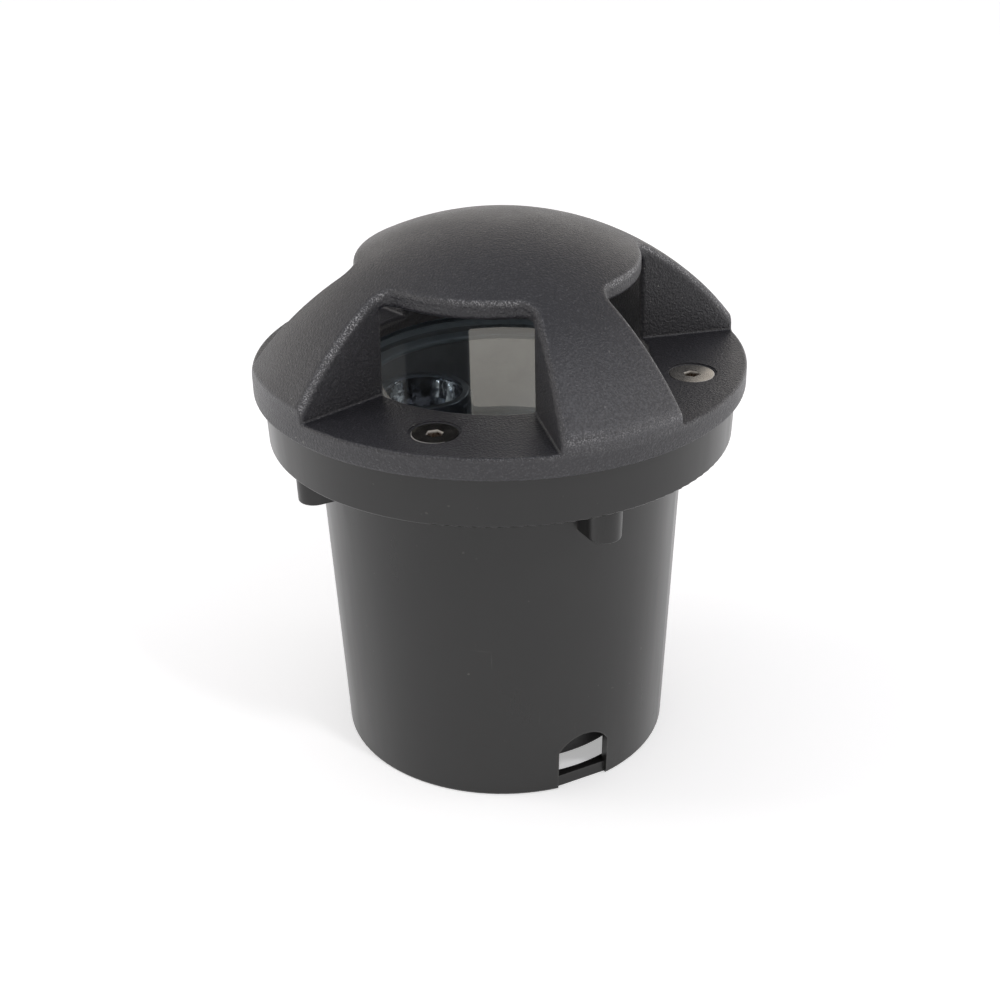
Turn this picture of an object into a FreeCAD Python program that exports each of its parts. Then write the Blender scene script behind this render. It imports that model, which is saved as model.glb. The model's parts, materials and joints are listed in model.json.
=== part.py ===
import FreeCAD, Part
import math
import os

# In-ground well light. Millimetres, +Z up.
# Origin: centre of the sleeve's bottom ring, on the surface the light stands on.
# The four windows face -Y, +X, +Y and -X; the four arms, the sleeve's outer
# bosses and the cable notch lie on the diagonals between them.

V = FreeCAD.Vector
os.makedirs("parts", exist_ok=True)

# ---------------------------------------------------------------- dimensions
# cast top cover
RIM_R = 71.0            # rim radius
RIM_Z0 = 113.8          # underside of the rim, top of the sleeve's collar
PAD_Z = 120.3           # flat pads in front of the windows
DOME_R = 88.09          # radius of the dome's sphere
DOME_TOP = 160.34       # apex of the dome
CAP_R = 40.4            # radius of the central cap's edge
CAP_Z0 = 145.3          # underside of the cap's edge
CAP_IN_R = 36.0         # start of the hollow under the cap
CAP_T = 4.6             # wall of the cap
HOLE_R = 42.5           # light opening at the pads
HOLE_R1 = 42.2          # light opening under the cap: the arms' inner faces have draft
HOLE_RND = 1.7          # their rounding into the cap's underside
ARM_HALF = 15.0         # half the angle of one arm
RECESS_R = 50.8         # recess for the lens in the cover's underside
RECESS_Z = 116.6
SCREW_PCR = 56.5        # cover screws
CSK_R = 6.6             # countersink mouth
CSK_HOLE = 3.3

# sleeve
SL_R0 = 49.6            # outer radius at the bottom
SL_R1 = 53.9            # outer radius under the collar
SL_WALL = 2.8
COL_Z0 = 98.8           # underside of the collar
COL_R0 = 67.6
COL_R1 = 68.2
COL_WALL = 3.0
COL_FLOOR = 3.0
SHELF_Z = 104.0         # seat of the lamp housing's flange
LIP_R = 45.0            # opening in the bottom, inside a low ring
LIP_T = 3.4
NOTCH_A = 45.0          # direction of the cable notch
NOTCH_W = 16.4
NOTCH_H = 18.0
BOSS_PCR = 59.5         # long bosses for the housing screws
BOSS_R = 4.7
BOSS_Z0 = 88.0

# lens
GLASS_R = 48.6
GLASS_Z0 = 109.8
GLASS_Z1 = 115.8

# lamp housing
HO_R0 = 42.0            # outer radius at its lower edge
HO_R1 = 46.8            # outer radius under the flange
HO_Z0 = 6.2
HO_WALL = 2.6
HO_FLOOR0 = 24.0        # recessed floor
HO_FLOOR1 = 27.0
FL_Z1 = 107.8           # top of the flange, seat of the lower gasket
FL_R = 54.0
LEDGE_R = 40.4          # trim ring inner radius
LEDGE_Z = 106.2         # trim ring top face
LEDGE_T = 1.8           # trim ring thickness
RING_R1 = 44.9          # trim ring outer radius, bore of the housing's mouth

# lamp carrier
SWIVEL_REST = 10.0      # how far the lamp carrier is turned about Z at rest
FOOT_Z = 33.0           # underside of the bracket's foot
STRIP_T = 1.5
PIVOT_Z = 68.0          # height of the tilt axis
LAMP_X = -22.6          # lamp axis, measured from the light's axis
LAMP_Z1 = 103.0         # front face of the lamp
GLAND_D = 18.0          # gland, distance from the light's axis
GLAND_A = 45.0


# ------------------------------------------------------------------- helpers
def dirv(a, r=1.0):
    """Point at angle a (degrees) from -Y towards +X, at radius r."""
    t = math.radians(a)
    return r * math.sin(t), -r * math.cos(t)


def cyl(r, z0, z1, x=0.0, y=0.0):
    return Part.makeCylinder(r, z1 - z0, V(x, y, z0))


def tube(r1, r0, z0, z1, x=0.0, y=0.0):
    return cyl(r1, z0, z1, x, y).cut(cyl(r0, z0 - 1, z1 + 1, x, y))


def box(x0, x1, y0, y1, z0, z1):
    return Part.makeBox(x1 - x0, y1 - y0, z1 - z0, V(x0, y0, z0))


def revolve(pts):
    """Solid of revolution about Z from a closed list of (r, z) points.
    A point may be ("arc", (r, z), (r, z)): an arc through the first to the second."""
    edges = []
    cur = pts[0]
    for p in pts[1:] + [pts[0]]:
        if p[0] == "arc":
            m, e = p[1], p[2]
            edges.append(Part.Arc(V(cur[0], 0, cur[1]), V(m[0], 0, m[1]), V(e[0], 0, e[1])).toShape())
            cur = e
        else:
            if abs(p[0] - cur[0]) + abs(p[1] - cur[1]) > 1e-7:
                edges.append(Part.LineSegment(V(cur[0], 0, cur[1]), V(p[0], 0, p[1])).toShape())
            cur = p
    face = Part.Face(Part.Wire(edges))
    s = face.revolve(V(0, 0, 0), V(0, 0, 1), 360)
    s = Part.Solid(s.Shells[0]) if s.ShapeType != "Solid" else s
    return s


def sector(a_mid, half, r0, r1, z0, z1):
    """Wedge between radii r0 and r1, centred on direction a_mid."""
    pts = []
    far = r1 / math.cos(math.radians(half)) + 2
    for a in (a_mid - half, a_mid + half):
        x, y = dirv(a, far)
        pts.append(V(x, y, z0))
    w = Part.Wire(Part.makePolygon([V(0, 0, z0), pts[0], pts[1], V(0, 0, z0)]).Edges)
    prism = Part.Face(w).extrude(V(0, 0, z1 - z0))
    ring = cyl(r1, z0, z1)
    if r0 > 0:
        ring = ring.cut(cyl(r0, z0 - 1, z1 + 1))
    return prism.common(ring)


def turned(s, deg):
    s = s.copy()
    s.rotate(V(0, 0, 0), V(0, 0, 1), deg)
    return s


def hexagon(af, z0, z1, x=0.0, y=0.0, rot=0.0):
    r = af / math.sqrt(3)
    pts = [V(x + r * math.cos(math.radians(60 * i + rot)), y + r * math.sin(math.radians(60 * i + rot)), z0)
           for i in range(7)]
    return Part.Face(Part.makePolygon(pts)).extrude(V(0, 0, z1 - z0))


def fuse(items):
    s = items[0]
    if len(items) > 1:
        s = s.multiFuse(items[1:])
    return s.removeSplitter()


def try_fillet(s, r, pick, name, chamfer=False):
    """Round the edges that pick() accepts; one at a time if they fail together."""
    edges = [e for e in s.Edges if pick(e)]
    if not edges:
        print("fillet", name, "no edges")
        return s
    try:
        t = s.makeChamfer(r, edges) if chamfer else s.makeFillet(r, edges)
        if t.isValid() and t.Volume > 0:
            print("fillet", name, len(edges), "ok")
            return t
        print("fillet", name, len(edges), "gives no valid solid")
    except Exception as ex:
        print("fillet", name, "together failed:", ex)
    return s


def mid(e):
    return e.valueAt(0.5 * (e.FirstParameter + e.LastParameter))


def export(name, shape):
    sol = shape.Solids
    if len(sol) == 1:
        out = sol[0]
    else:
        out = Part.makeCompound(sol)
    ok = all(x.isValid() for x in sol)
    b = out.BoundBox
    print("%-24s solids %d valid %s vol %9.1f  z %.2f..%.2f" % (name, len(sol), ok, out.Volume, b.ZMin, b.ZMax))
    out.exportStep("parts/%s.step" % name)


# ------------------------------------------------------------------ top cover
zc = DOME_TOP - DOME_R
ball = Part.makeSphere(DOME_R, V(0, 0, zc))
body = ball.common(cyl(RIM_R, RIM_Z0, DOME_TOP + 5))
body = body.fuse(cyl(RIM_R, RIM_Z0, PAD_Z))
for k in range(4):
    body = body.cut(sector(90.0 * k, 45.0 - ARM_HALF, CAP_R, RIM_R + 12, PAD_Z, DOME_TOP + 8))
body = body.removeSplitter()


def near_r(p, r, tol=0.25):
    return abs(math.hypot(p.x, p.y) - r) < tol


def is_arm_top(e):
    """Edges where an arm's side wall meets the dome."""
    m = mid(e)
    r = math.hypot(m.x, m.y)
    z = zc + math.sqrt(max(DOME_R ** 2 - r * r, 0))
    a = math.degrees(math.atan2(m.x, -m.y)) % 90.0
    return CAP_R + 3 < r < RIM_R - 3 and abs(m.z - z) < 0.2 and abs(abs(a - 45.0) - ARM_HALF) < 1.0


def is_cap_top(e):
    """Edge of the central cap over each window."""
    m = mid(e)
    z = zc + math.sqrt(DOME_R ** 2 - CAP_R ** 2)
    return near_r(m, CAP_R, 0.6) and abs(m.z - z) < 0.2


def is_corner(e):
    """Upright inside corner between an arm and the cap's edge."""
    p, q = e.Vertexes[0].Point, e.Vertexes[-1].Point
    return near_r(p, CAP_R, 0.3) and near_r(q, CAP_R, 0.3) and abs(p.z - q.z) > 10 and math.hypot(p.x - q.x, p.y - q.y) < 0.1


body = try_fillet(body, 4.2, is_corner, "arm to cap corners")


def is_top_any(e):
    """Every edge between the dome and an upright wall of a window."""
    m = mid(e)
    r = math.hypot(m.x, m.y)
    z = zc + math.sqrt(max(DOME_R ** 2 - r * r, 0))
    if r > RIM_R - 2 or r < CAP_R - 2:
        return False
    return abs(m.z - z) < 0.25 and all(abs(zc + math.sqrt(max(DOME_R ** 2 - v.Point.x ** 2 - v.Point.y ** 2, 0)) - v.Point.z) < 0.3
                                      for v in e.Vertexes) and e.Length > 0.5


body = try_fillet(body, 2.3, is_top_any, "top edges of windows")


def is_arm_end(e):
    """Upright outer corners of the arms and the arms' outer top edges."""
    p, q = e.Vertexes[0].Point, e.Vertexes[-1].Point
    return near_r(p, RIM_R, 0.05) and near_r(q, RIM_R, 0.05) and p.z > PAD_Z - 0.1 and q.z > PAD_Z - 0.1


def is_foot(e):
    """Concave foot between an arm's side wall and a pad."""
    p, q = e.Vertexes[0].Point, e.Vertexes[-1].Point
    if abs(p.z - PAD_Z) > 0.05 or abs(q.z - PAD_Z) > 0.05:
        return False
    m = mid(e)
    a = math.degrees(math.atan2(m.x, -m.y)) % 90.0
    r = math.hypot(m.x, m.y)
    return abs(m.z - PAD_Z) < 0.05 and abs(abs(a - 45.0) - ARM_HALF) < 1.5 and 46 < r < 68


body = try_fillet(body, 0.7, is_foot, "feet of the arms")

# light opening, hollow under the cap, lens recess
g = HOLE_RND * (1.0 - math.sqrt(0.5))
body = body.cut(revolve([(0, RIM_Z0 - 1), (HOLE_R, RIM_Z0 - 1), (HOLE_R, PAD_Z), (HOLE_R1, CAP_Z0 - HOLE_RND),
                         ("arc", (HOLE_R1 - g, CAP_Z0 - g), (HOLE_R1 - HOLE_RND, CAP_Z0)), (0, CAP_Z0)]))
inner_ball = Part.makeSphere(DOME_R - CAP_T, V(0, 0, zc))
body = body.cut(inner_ball.common(cyl(CAP_IN_R, CAP_Z0 - 2, DOME_TOP)))
body = body.cut(cyl(RECESS_R, RIM_Z0 - 1, RECESS_Z))
body = body.removeSplitter()


def is_cap_low(e):
    m = mid(e)
    return abs(m.z - CAP_Z0) < 0.05 and near_r(m, CAP_R, 0.3) and e.Length > 5


body = try_fillet(body, 1.6, is_cap_low, "cap's lower edge")


# rounded inner edge of the pads, between the feet of the arms
RND = 0.9
q = RND * (1.0 - math.sqrt(0.5))
lead = revolve([(HOLE_R - 0.3, PAD_Z - RND), (HOLE_R, PAD_Z - RND), ("arc", (HOLE_R + q, PAD_Z - q), (HOLE_R + RND, PAD_Z)),
                (HOLE_R + RND, PAD_Z + 0.3), (HOLE_R - 0.3, PAD_Z + 0.3)])
for k in range(4):
    body = body.cut(lead.common(sector(90.0 * k, 45.0 - ARM_HALF - 1.0, HOLE_R - 1, HOLE_R + 3, PAD_Z - 2, PAD_Z + 1)))


def is_rim_low(e):
    m = mid(e)
    return abs(m.z - RIM_Z0) < 0.05 and near_r(m, RIM_R, 0.1)


body = try_fillet(body, 0.8, is_rim_low, "rim's lower edge")


def is_rim_top(e):
    m = mid(e)
    return abs(m.z - PAD_Z) < 0.05 and near_r(m, RIM_R, 0.1) and e.Length > 10


body = try_fillet(body, 0.9, is_rim_top, "rim's upper edge")

# arms cored from below
core_ball = Part.makeSphere(DOME_R - 5.0, V(0, 0, zc))
for k in range(4):
    core = sector(45.0 + 90.0 * k, 9.5, 54.5, 65.5, RIM_Z0 - 1, DOME_TOP)
    core = core.common(core_ball)
    body = body.cut(core)

# countersunk screw holes in the pads
HEAD_TOP = PAD_Z - 0.3
for k in range(4):
    x, y = dirv(90.0 * k, SCREW_PCR)
    body = body.cut(cyl(CSK_HOLE, RIM_Z0 - 1, PAD_Z + 1, x, y))
    body = body.cut(Part.makeCone(CSK_HOLE, CSK_R, CSK_R - CSK_HOLE, V(x, y, HEAD_TOP - (CSK_R - CSK_HOLE))))
    body = body.cut(cyl(CSK_R + 0.45, HEAD_TOP, PAD_Z + 1, x, y))
body = body.removeSplitter()
export("top_cover", body)

# ---------------------------------------------------- cover screws and inserts
screws, inserts = [], []
for k in range(4):
    x, y = dirv(90.0 * k, SCREW_PCR)
    hr = 6.25
    s = Part.makeCone(3.0, hr, hr - 3.0, V(x, y, HEAD_TOP - 0.3 - (hr - 3.0)))
    s = s.fuse(cyl(hr, HEAD_TOP - 0.3, HEAD_TOP - 0.05, x, y))
    s = s.fuse(cyl(3.0, 104.6, HEAD_TOP - 1.0, x, y))
    s = s.fuse(Part.makeCone(2.3, 3.0, 0.8, V(x, y, 103.8)))
    s = s.removeSplitter()
    s = s.cut(hexagon(4.3, HEAD_TOP - 2.4, HEAD_TOP + 1, x, y, (33.0, 53.0, 20.0, 47.7)[k]))
    screws.append(s)
    i = tube(4.0, 3.0, 103.8, 113.3, x, y)
    i = i.fuse(tube(4.6, 3.0, 112.3, 113.3, x, y)).fuse(tube(4.4, 3.0, 106.5, 108.5, x, y)).removeSplitter()
    inserts.append(i)
export("cover_screws", Part.makeCompound(screws))
export("cover_screw_inserts", Part.makeCompound(inserts))

# --------------------------------------------------------------------- sleeve


def sl_out(z):
    return SL_R0 + (SL_R1 - SL_R0) * z / COL_Z0


slope = (SL_R1 - SL_R0) / COL_Z0
wall_in = lambda z: sl_out(z) - SL_WALL
sleeve = revolve([
    (LIP_R, 0.0), (SL_R0, 0.0), (SL_R1, COL_Z0), (COL_R0, COL_Z0), (COL_R1, RIM_Z0 - 0.05),
    (COL_R1 - COL_WALL, RIM_Z0 - 0.05), (COL_R1 - COL_WALL, COL_Z0 + COL_FLOOR), (SL_R1 + 0.1, COL_Z0 + COL_FLOOR),
    (SL_R1 + 0.1, SHELF_Z), (wall_in(SHELF_Z), SHELF_Z), (wall_in(LIP_T), LIP_T), (LIP_R, LIP_T)])
sleeve = try_fillet(sleeve, 0.7, lambda e: near_r(mid(e), SL_R0, 0.05) and abs(mid(e).z) < 0.05, "sleeve's lower edge")
sleeve = try_fillet(sleeve, 0.6, lambda e: near_r(mid(e), COL_R0, 0.05) and abs(mid(e).z - COL_Z0) < 0.05, "collar's lower edge")
sleeve = try_fillet(sleeve, 1.2, lambda e: near_r(mid(e), SL_R1, 0.05) and abs(mid(e).z - COL_Z0) < 0.05, "collar to wall")

inside = revolve([(0.0, LIP_T), (wall_in(LIP_T), LIP_T), (wall_in(SHELF_Z), SHELF_Z), (wall_in(SHELF_Z), 130.0), (0.0, 130.0)])
adds = []
for k in range(4):
    x, y = dirv(90.0 * k, SCREW_PCR)
    adds.append(cyl(5.3, COL_Z0 + 1.0, RIM_Z0 - 0.1, x, y))
    # long boss with a web to the wall
    a = 45.0 + 90.0 * k
    x, y = dirv(a, BOSS_PCR)
    b = Part.makeCone(BOSS_R, BOSS_R + 0.5, SHELF_Z - BOSS_Z0, V(x, y, BOSS_Z0))
    wp = [V(-BOSS_R, 0, BOSS_Z0), V(BOSS_R, 0, BOSS_Z0), V(BOSS_R + 0.5, 0, SHELF_Z), V(-BOSS_R - 0.5, 0, SHELF_Z), V(-BOSS_R, 0, BOSS_Z0)]
    wf = Part.Face(Part.makePolygon(wp))
    wf.translate(V(0, -BOSS_PCR, 0))
    w = wf.extrude(V(0, BOSS_PCR - SL_R1 + 2.4, 0))
    b = b.fuse(turned(w, a)).removeSplitter()
    b = try_fillet(b, 0.6, lambda e: abs(mid(e).z - BOSS_Z0) < 0.05 and math.hypot(mid(e).x, mid(e).y) > 55.0, "boss end")
    adds.append(b)
    # stiffening ribs inside the collar
    for d in (22.5, 67.5):
        r = box(-0.9, 0.9, -(COL_R1 - COL_WALL + 0.6), -(SL_R1 - 0.6), COL_Z0 + 1.0, SHELF_Z - 0.2)
        adds.append(turned(r, 90.0 * k + d))
sleeve = sleeve.multiFuse(adds)
sleeve = sleeve.cut(inside)
sleeve = sleeve.removeSplitter()

# holes for the brass inserts
for k in range(4):
    x, y = dirv(90.0 * k, SCREW_PCR)
    sleeve = sleeve.cut(cyl(4.0, 103.0, RIM_Z0, x, y))
    sleeve = sleeve.cut(cyl(4.6, 112.3, RIM_Z0, x, y))
    sleeve = sleeve.cut(tube(4.4, 3.9, 106.5, 108.5, x, y))
    x, y = dirv(45.0 + 90.0 * k, BOSS_PCR)
    sleeve = sleeve.cut(cyl(3.3, 92.0, SHELF_Z + 1, x, y))

# cable notch: an arched opening over the bottom ring, whose face stands back in it
na = NOTCH_A
prism_pts = [V(-NOTCH_W / 2, 0, LIP_T + 0.2), V(NOTCH_W / 2, 0, LIP_T + 0.2), V(NOTCH_W / 2, 0, NOTCH_H - 5.0)]
e1 = Part.makePolygon(prism_pts).Edges
arc = Part.Arc(V(NOTCH_W / 2, 0, NOTCH_H - 5.0), V(0, 0, NOTCH_H), V(-NOTCH_W / 2, 0, NOTCH_H - 5.0)).toShape()
e2 = Part.LineSegment(V(-NOTCH_W / 2, 0, NOTCH_H - 5.0), V(-NOTCH_W / 2, 0, LIP_T + 0.2)).toShape()
nf = Part.Face(Part.Wire(e1 + [arc, e2]))
nf.translate(V(0, -60, 0))
notch = nf.extrude(V(0, 60 - 41.5, 0))
sleeve = sleeve.cut(turned(notch, na))
step = box(-NOTCH_W / 2, NOTCH_W / 2, -60, -(SL_R0 - 1.9), -1, LIP_T + 0.3)
sleeve = sleeve.cut(turned(step, na))
sleeve = sleeve.removeSplitter()
export("sleeve", sleeve)

# --------------------------------------------------------------- lamp housing


def ho_out(z):
    return HO_R0 + (HO_R1 - HO_R0) * (z - HO_Z0) / (SHELF_Z - HO_Z0)


ho_in = lambda z: ho_out(z) - HO_WALL
housing = revolve([
    (ho_in(HO_Z0), HO_Z0), (HO_R0, HO_Z0), (HO_R1, SHELF_Z), (FL_R, SHELF_Z), (FL_R, FL_Z1), (50.5, FL_Z1), (50.5, 113.3), (49.5, 113.3),
    (49.5, FL_Z1), (RING_R1, FL_Z1), (RING_R1, LEDGE_Z - LEDGE_T), (ho_in(LEDGE_Z - LEDGE_T), LEDGE_Z - LEDGE_T),
    (ho_in(HO_FLOOR1), HO_FLOOR1), (0.0, HO_FLOOR1), (0.0, HO_FLOOR0), (ho_in(HO_FLOOR0), HO_FLOOR0)])
adds = [cyl(6.0, HO_FLOOR0, FOOT_Z - 0.05)]
for k in range(4):
    a = 45.0 + 90.0 * k
    x, y = dirv(a, BOSS_PCR)
    adds.append(cyl(5.2, SHELF_Z, FL_Z1, x, y))
    adds.append(turned(box(-5.2, 5.2, -BOSS_PCR, -49.8, SHELF_Z, FL_Z1), a))
housing = housing.multiFuse(adds).removeSplitter()
for k in range(4):
    x, y = dirv(90.0 * k, SCREW_PCR)
    housing = housing.cut(cyl(5.7, SHELF_Z - 1, FL_Z1 + 1, x, y))
    x, y = dirv(45.0 + 90.0 * k, BOSS_PCR)
    housing = housing.cut(cyl(2.75, SHELF_Z - 1, FL_Z1 + 1, x, y))
gx, gy = dirv(GLAND_A, GLAND_D)
housing = housing.cut(cyl(8.05, HO_FLOOR0 - 1, HO_FLOOR1 + 1, gx, gy))
housing = housing.cut(cyl(3.2, HO_FLOOR0 + 1.0, FOOT_Z + 1))
housing = try_fillet(housing, 1.0, lambda e: near_r(mid(e), HO_R0, 0.05) and abs(mid(e).z - HO_Z0) < 0.05, "housing's lower edge")
housing = housing.removeSplitter()
export("lamp_housing", housing)

# trim ring: turned ring dropped into the housing's mouth, on a 0.7 mm shoulder under the glass
export("trim_ring", revolve([
    (RING_R1, LEDGE_Z - LEDGE_T), (RING_R1, LEDGE_Z), (LEDGE_R + 0.5, LEDGE_Z),
    ("arc", (LEDGE_R + 0.146, LEDGE_Z - 0.146), (LEDGE_R, LEDGE_Z - 0.5)), (LEDGE_R, LEDGE_Z - 1.2),
    (LEDGE_R + 0.8, LEDGE_Z - LEDGE_T)]))

hs, hi, hw = [], [], []
for k in range(4):
    x, y = dirv(45.0 + 90.0 * k, BOSS_PCR)
    hw.append(tube(4.9, 2.7, FL_Z1, FL_Z1 + 0.8, x, y))
    z0 = FL_Z1 + 0.8
    s = cyl(4.1, z0, z0 + 2.7, x, y)
    s = try_fillet(s, 0.9, lambda e: abs(mid(e).z - (z0 + 2.7)) < 0.01, "housing screw head")
    s = s.fuse(cyl(2.5, 93.5, z0 + 0.5, x, y)).removeSplitter()
    for q in (0.0, 90.0):
        c = box(-2.6, 2.6, -0.45, 0.45, z0 + 1.2, z0 + 4.0)
        c.rotate(V(0, 0, 0), V(0, 0, 1), q + 20.0)
        c.translate(V(x, y, 0))
        s = s.cut(c)
    hs.append(s)
    hi.append(tube(3.3, 2.5, 93.0, SHELF_Z, x, y))
export("housing_screws", Part.makeCompound(hs))
export("housing_screw_washers", Part.makeCompound(hw))
export("housing_screw_inserts", Part.makeCompound(hi))

# ----------------------------------------------------------- lens and gaskets
glass = cyl(GLASS_R, GLASS_Z0, GLASS_Z1)
glass = try_fillet(glass, 0.6, lambda e: abs(e.Length - 2 * math.pi * GLASS_R) < 0.1, "glass edge", chamfer=True)
export("lens_glass", glass)
export("lens_gasket_lower", tube(49.2, 44.9, FL_Z1, GLASS_Z0))
export("lens_gasket_upper", tube(GLASS_R - 0.7, 44.9, GLASS_Z1, RECESS_Z))

# -------------------------------------------------------------------- gland
gb = hexagon(20.0, HO_FLOOR0 - 6.6, HO_FLOOR0 - 1.6, gx, gy, 15.0)
gb = gb.common(cyl(11.2, HO_FLOOR0 - 7, HO_FLOOR0, gx, gy))
gb = gb.fuse(cyl(8.0, HO_FLOOR0 - 1.7, HO_FLOOR1 + 5.0, gx, gy)).fuse(cyl(8.4, HO_FLOOR0 - 12.5, HO_FLOOR0 - 6.5, gx, gy)).removeSplitter()
gb = gb.cut(cyl(5.0, HO_FLOOR0 - 14, HO_FLOOR1 + 6, gx, gy)).cut(cyl(6.6, HO_FLOOR0 - 14, HO_FLOOR0 - 4.5, gx, gy))
export("gland_body", gb)
export("gland_washer", tube(10.6, 8.0, HO_FLOOR0 - 1.6, HO_FLOOR0, gx, gy))
gs = tube(6.6, 2.9, HO_FLOOR0 - 13.6, HO_FLOOR0 - 4.5, gx, gy)
export("gland_seal", gs)
gn = hexagon(20.0, HO_FLOOR0 - 13.0, HO_FLOOR0 - 7.0, gx, gy, 0.0)
gn = gn.common(cyl(11.2, HO_FLOOR0 - 16, HO_FLOOR0, gx, gy))
gn = gn.fuse(Part.makeCone(7.0, 9.6, 3.0, V(gx, gy, HO_FLOOR0 - 16.0))).removeSplitter()
gn = gn.cut(cyl(8.4, HO_FLOOR0 - 13.6, HO_FLOOR0 - 6, gx, gy)).cut(cyl(4.6, HO_FLOOR0 - 17, HO_FLOOR0 - 6, gx, gy))
export("gland_dome_nut", gn)
ln = hexagon(20.0, HO_FLOOR1, HO_FLOOR1 + 4.0, gx, gy, 8.0).common(cyl(11.0, HO_FLOOR1 - 1, HO_FLOOR1 + 5, gx, gy))
ln = ln.cut(cyl(8.0, HO_FLOOR1 - 1, HO_FLOOR1 + 6, gx, gy))
export("gland_locknut", ln)

# ------------------------------------------- swivel (drawn along X, then turned)
R = SWIVEL_REST
RING_R = 13.6           # lamp ring, outside
TAB_X1 = LAMP_X + RING_R   # near face of the lamp holder's tab
foot_top = FOOT_Z + STRIP_T
export("swivel_insert", tube(3.2, 2.5, HO_FLOOR0 + 1.5, FOOT_Z - 0.1))
export("swivel_wave_washer", turned(tube(4.9, 2.62, foot_top + 0.05, foot_top + 0.75), R))
export("swivel_washer", tube(5.0, 2.62, foot_top + 0.8, foot_top + 1.8))
zb = foot_top + 1.8
sb = cyl(4.3, zb, zb + 2.9)
sb = try_fillet(sb, 0.8, lambda e: abs(mid(e).z - (zb + 2.9)) < 0.01, "swivel bolt head")
sb = sb.fuse(cyl(2.5, HO_FLOOR0 + 2.0, zb + 0.5)).removeSplitter().cut(hexagon(3.0, zb + 1.2, zb + 4))
export("swivel_bolt", sb)

# bracket: foot on the swivel, plain riser with the tilt hole
bw = 7.0
foot = cyl(bw, FOOT_Z, foot_top).fuse(box(TAB_X1 + 0.8, 0, -bw, bw, FOOT_Z, foot_top)).removeSplitter()
riser = box(TAB_X1 + 0.8, TAB_X1 + 0.8 + STRIP_T, -bw, bw, FOOT_Z, PIVOT_Z)
head = Part.makeCylinder(bw, STRIP_T, V(TAB_X1 + 0.8, 0, PIVOT_Z), V(1, 0, 0))
br = foot.fuse(riser).fuse(head).removeSplitter()
br = try_fillet(br, 2.0, lambda e: abs(mid(e).x - (TAB_X1 + 0.8)) < 0.02 and abs(mid(e).z - FOOT_Z) < 0.02 and abs(mid(e).y) < 0.5, "bracket bend")
br = try_fillet(br, 0.6, lambda e: abs(mid(e).x - (TAB_X1 + 0.8 + STRIP_T)) < 0.02 and abs(mid(e).z - foot_top) < 0.02 and abs(mid(e).y) < 0.5, "bracket inner bend")
br = br.cut(cyl(2.58, FOOT_Z - 1, foot_top + 1))
br = br.cut(Part.makeCylinder(2.05, 6, V(TAB_X1 - 1, 0, PIVOT_Z), V(1, 0, 0)))
export("lamp_bracket", turned(br, R))

# ------------------------------------------------------------- tilt pivot
hx = TAB_X1 + 0.8 + STRIP_T
ps = Part.makeCylinder(3.9, 2.6, V(hx, 0, PIVOT_Z), V(1, 0, 0))
ps = try_fillet(ps, 0.9, lambda e: abs(mid(e).x - (hx + 2.6)) < 0.01, "pivot head")
ps = ps.fuse(Part.makeCylinder(2.0, 8.2, V(hx - 7.7, 0, PIVOT_Z), V(1, 0, 0))).removeSplitter()
for q in (0.0, 90.0):
    c = box(-0.4, 0.4, -2.4, 2.4, -1.5, 1.5)
    c.rotate(V(0, 0, 0), V(0, 1, 0), 90)
    c.rotate(V(0, 0, 0), V(1, 0, 0), q + 30.0)
    c.translate(V(hx + 2.6, 0, PIVOT_Z))
    ps = ps.cut(c)
export("pivot_screw", turned(ps, R))


def tube_x(r1, r0, x0, x1):
    a = Part.makeCylinder(r1, x1 - x0, V(x0, 0, PIVOT_Z), V(1, 0, 0))
    return a.cut(Part.makeCylinder(r0, x1 - x0 + 2, V(x0 - 1, 0, PIVOT_Z), V(1, 0, 0)))


export("pivot_wave_washer", turned(tube_x(4.4, 2.05, TAB_X1 + 0.05, TAB_X1 + 0.8), R))
nut = hexagon(7.0, -5.6, -2.4)
nut.rotate(V(0, 0, 0), V(0, 1, 0), 90)
nut.translate(V(0, 0, PIVOT_Z))
nut = nut.cut(Part.makeCylinder(2.0, 20, V(-10, 0, PIVOT_Z), V(1, 0, 0)))
nb = nut.BoundBox
nut.translate(V(TAB_X1 - 1.05 - nb.XMax, 0, 0))
export("pivot_nut", turned(nut, R))

# ------------------------------------------------------------------ lamp holder
lx = LAMP_X
ring = tube(RING_R, 12.85, 98.4, 103.9, lx, 0).fuse(tube(RING_R, 11.6, 103.1, 103.9, lx, 0)).removeSplitter()
tab = box(TAB_X1 - 1.0, TAB_X1, -6.0, 6.0, PIVOT_Z, 101.5).fuse(Part.makeCylinder(6.0, 1.0, V(TAB_X1 - 1.0, 0, PIVOT_Z), V(1, 0, 0)))
# the tab stops at the ring's bore
tab = tab.cut(cyl(12.85, 90.0, 103.1, lx, 0))
hold = ring.fuse(tab).removeSplitter()
hold = hold.cut(Part.makeCylinder(2.08, 4, V(TAB_X1 - 3, 0, PIVOT_Z), V(1, 0, 0)))
hold = try_fillet(hold, 0.35, lambda e: abs(e.Length - 2 * math.pi * RING_R) < 0.5 and abs(mid(e).z - 103.9) < 0.01, "lamp ring's upper edge")
export("lamp_holder", turned(hold, R))

# retaining clip: an open wire ring under the lamp's rim
clip = Part.makeTorus(12.38, 0.4, V(lx, 0, 99.95), V(0, 0, 1))
clip = clip.cut(box(lx - 18, lx - 8, -1.6, 1.6, 95, 102))
export("lamp_clip", turned(clip, R))


# ------------------------------------------------------------------------ lamp
def lamp_rev(pts):
    s = revolve(pts)
    s.translate(V(lx, 0, 0))
    return s


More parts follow.
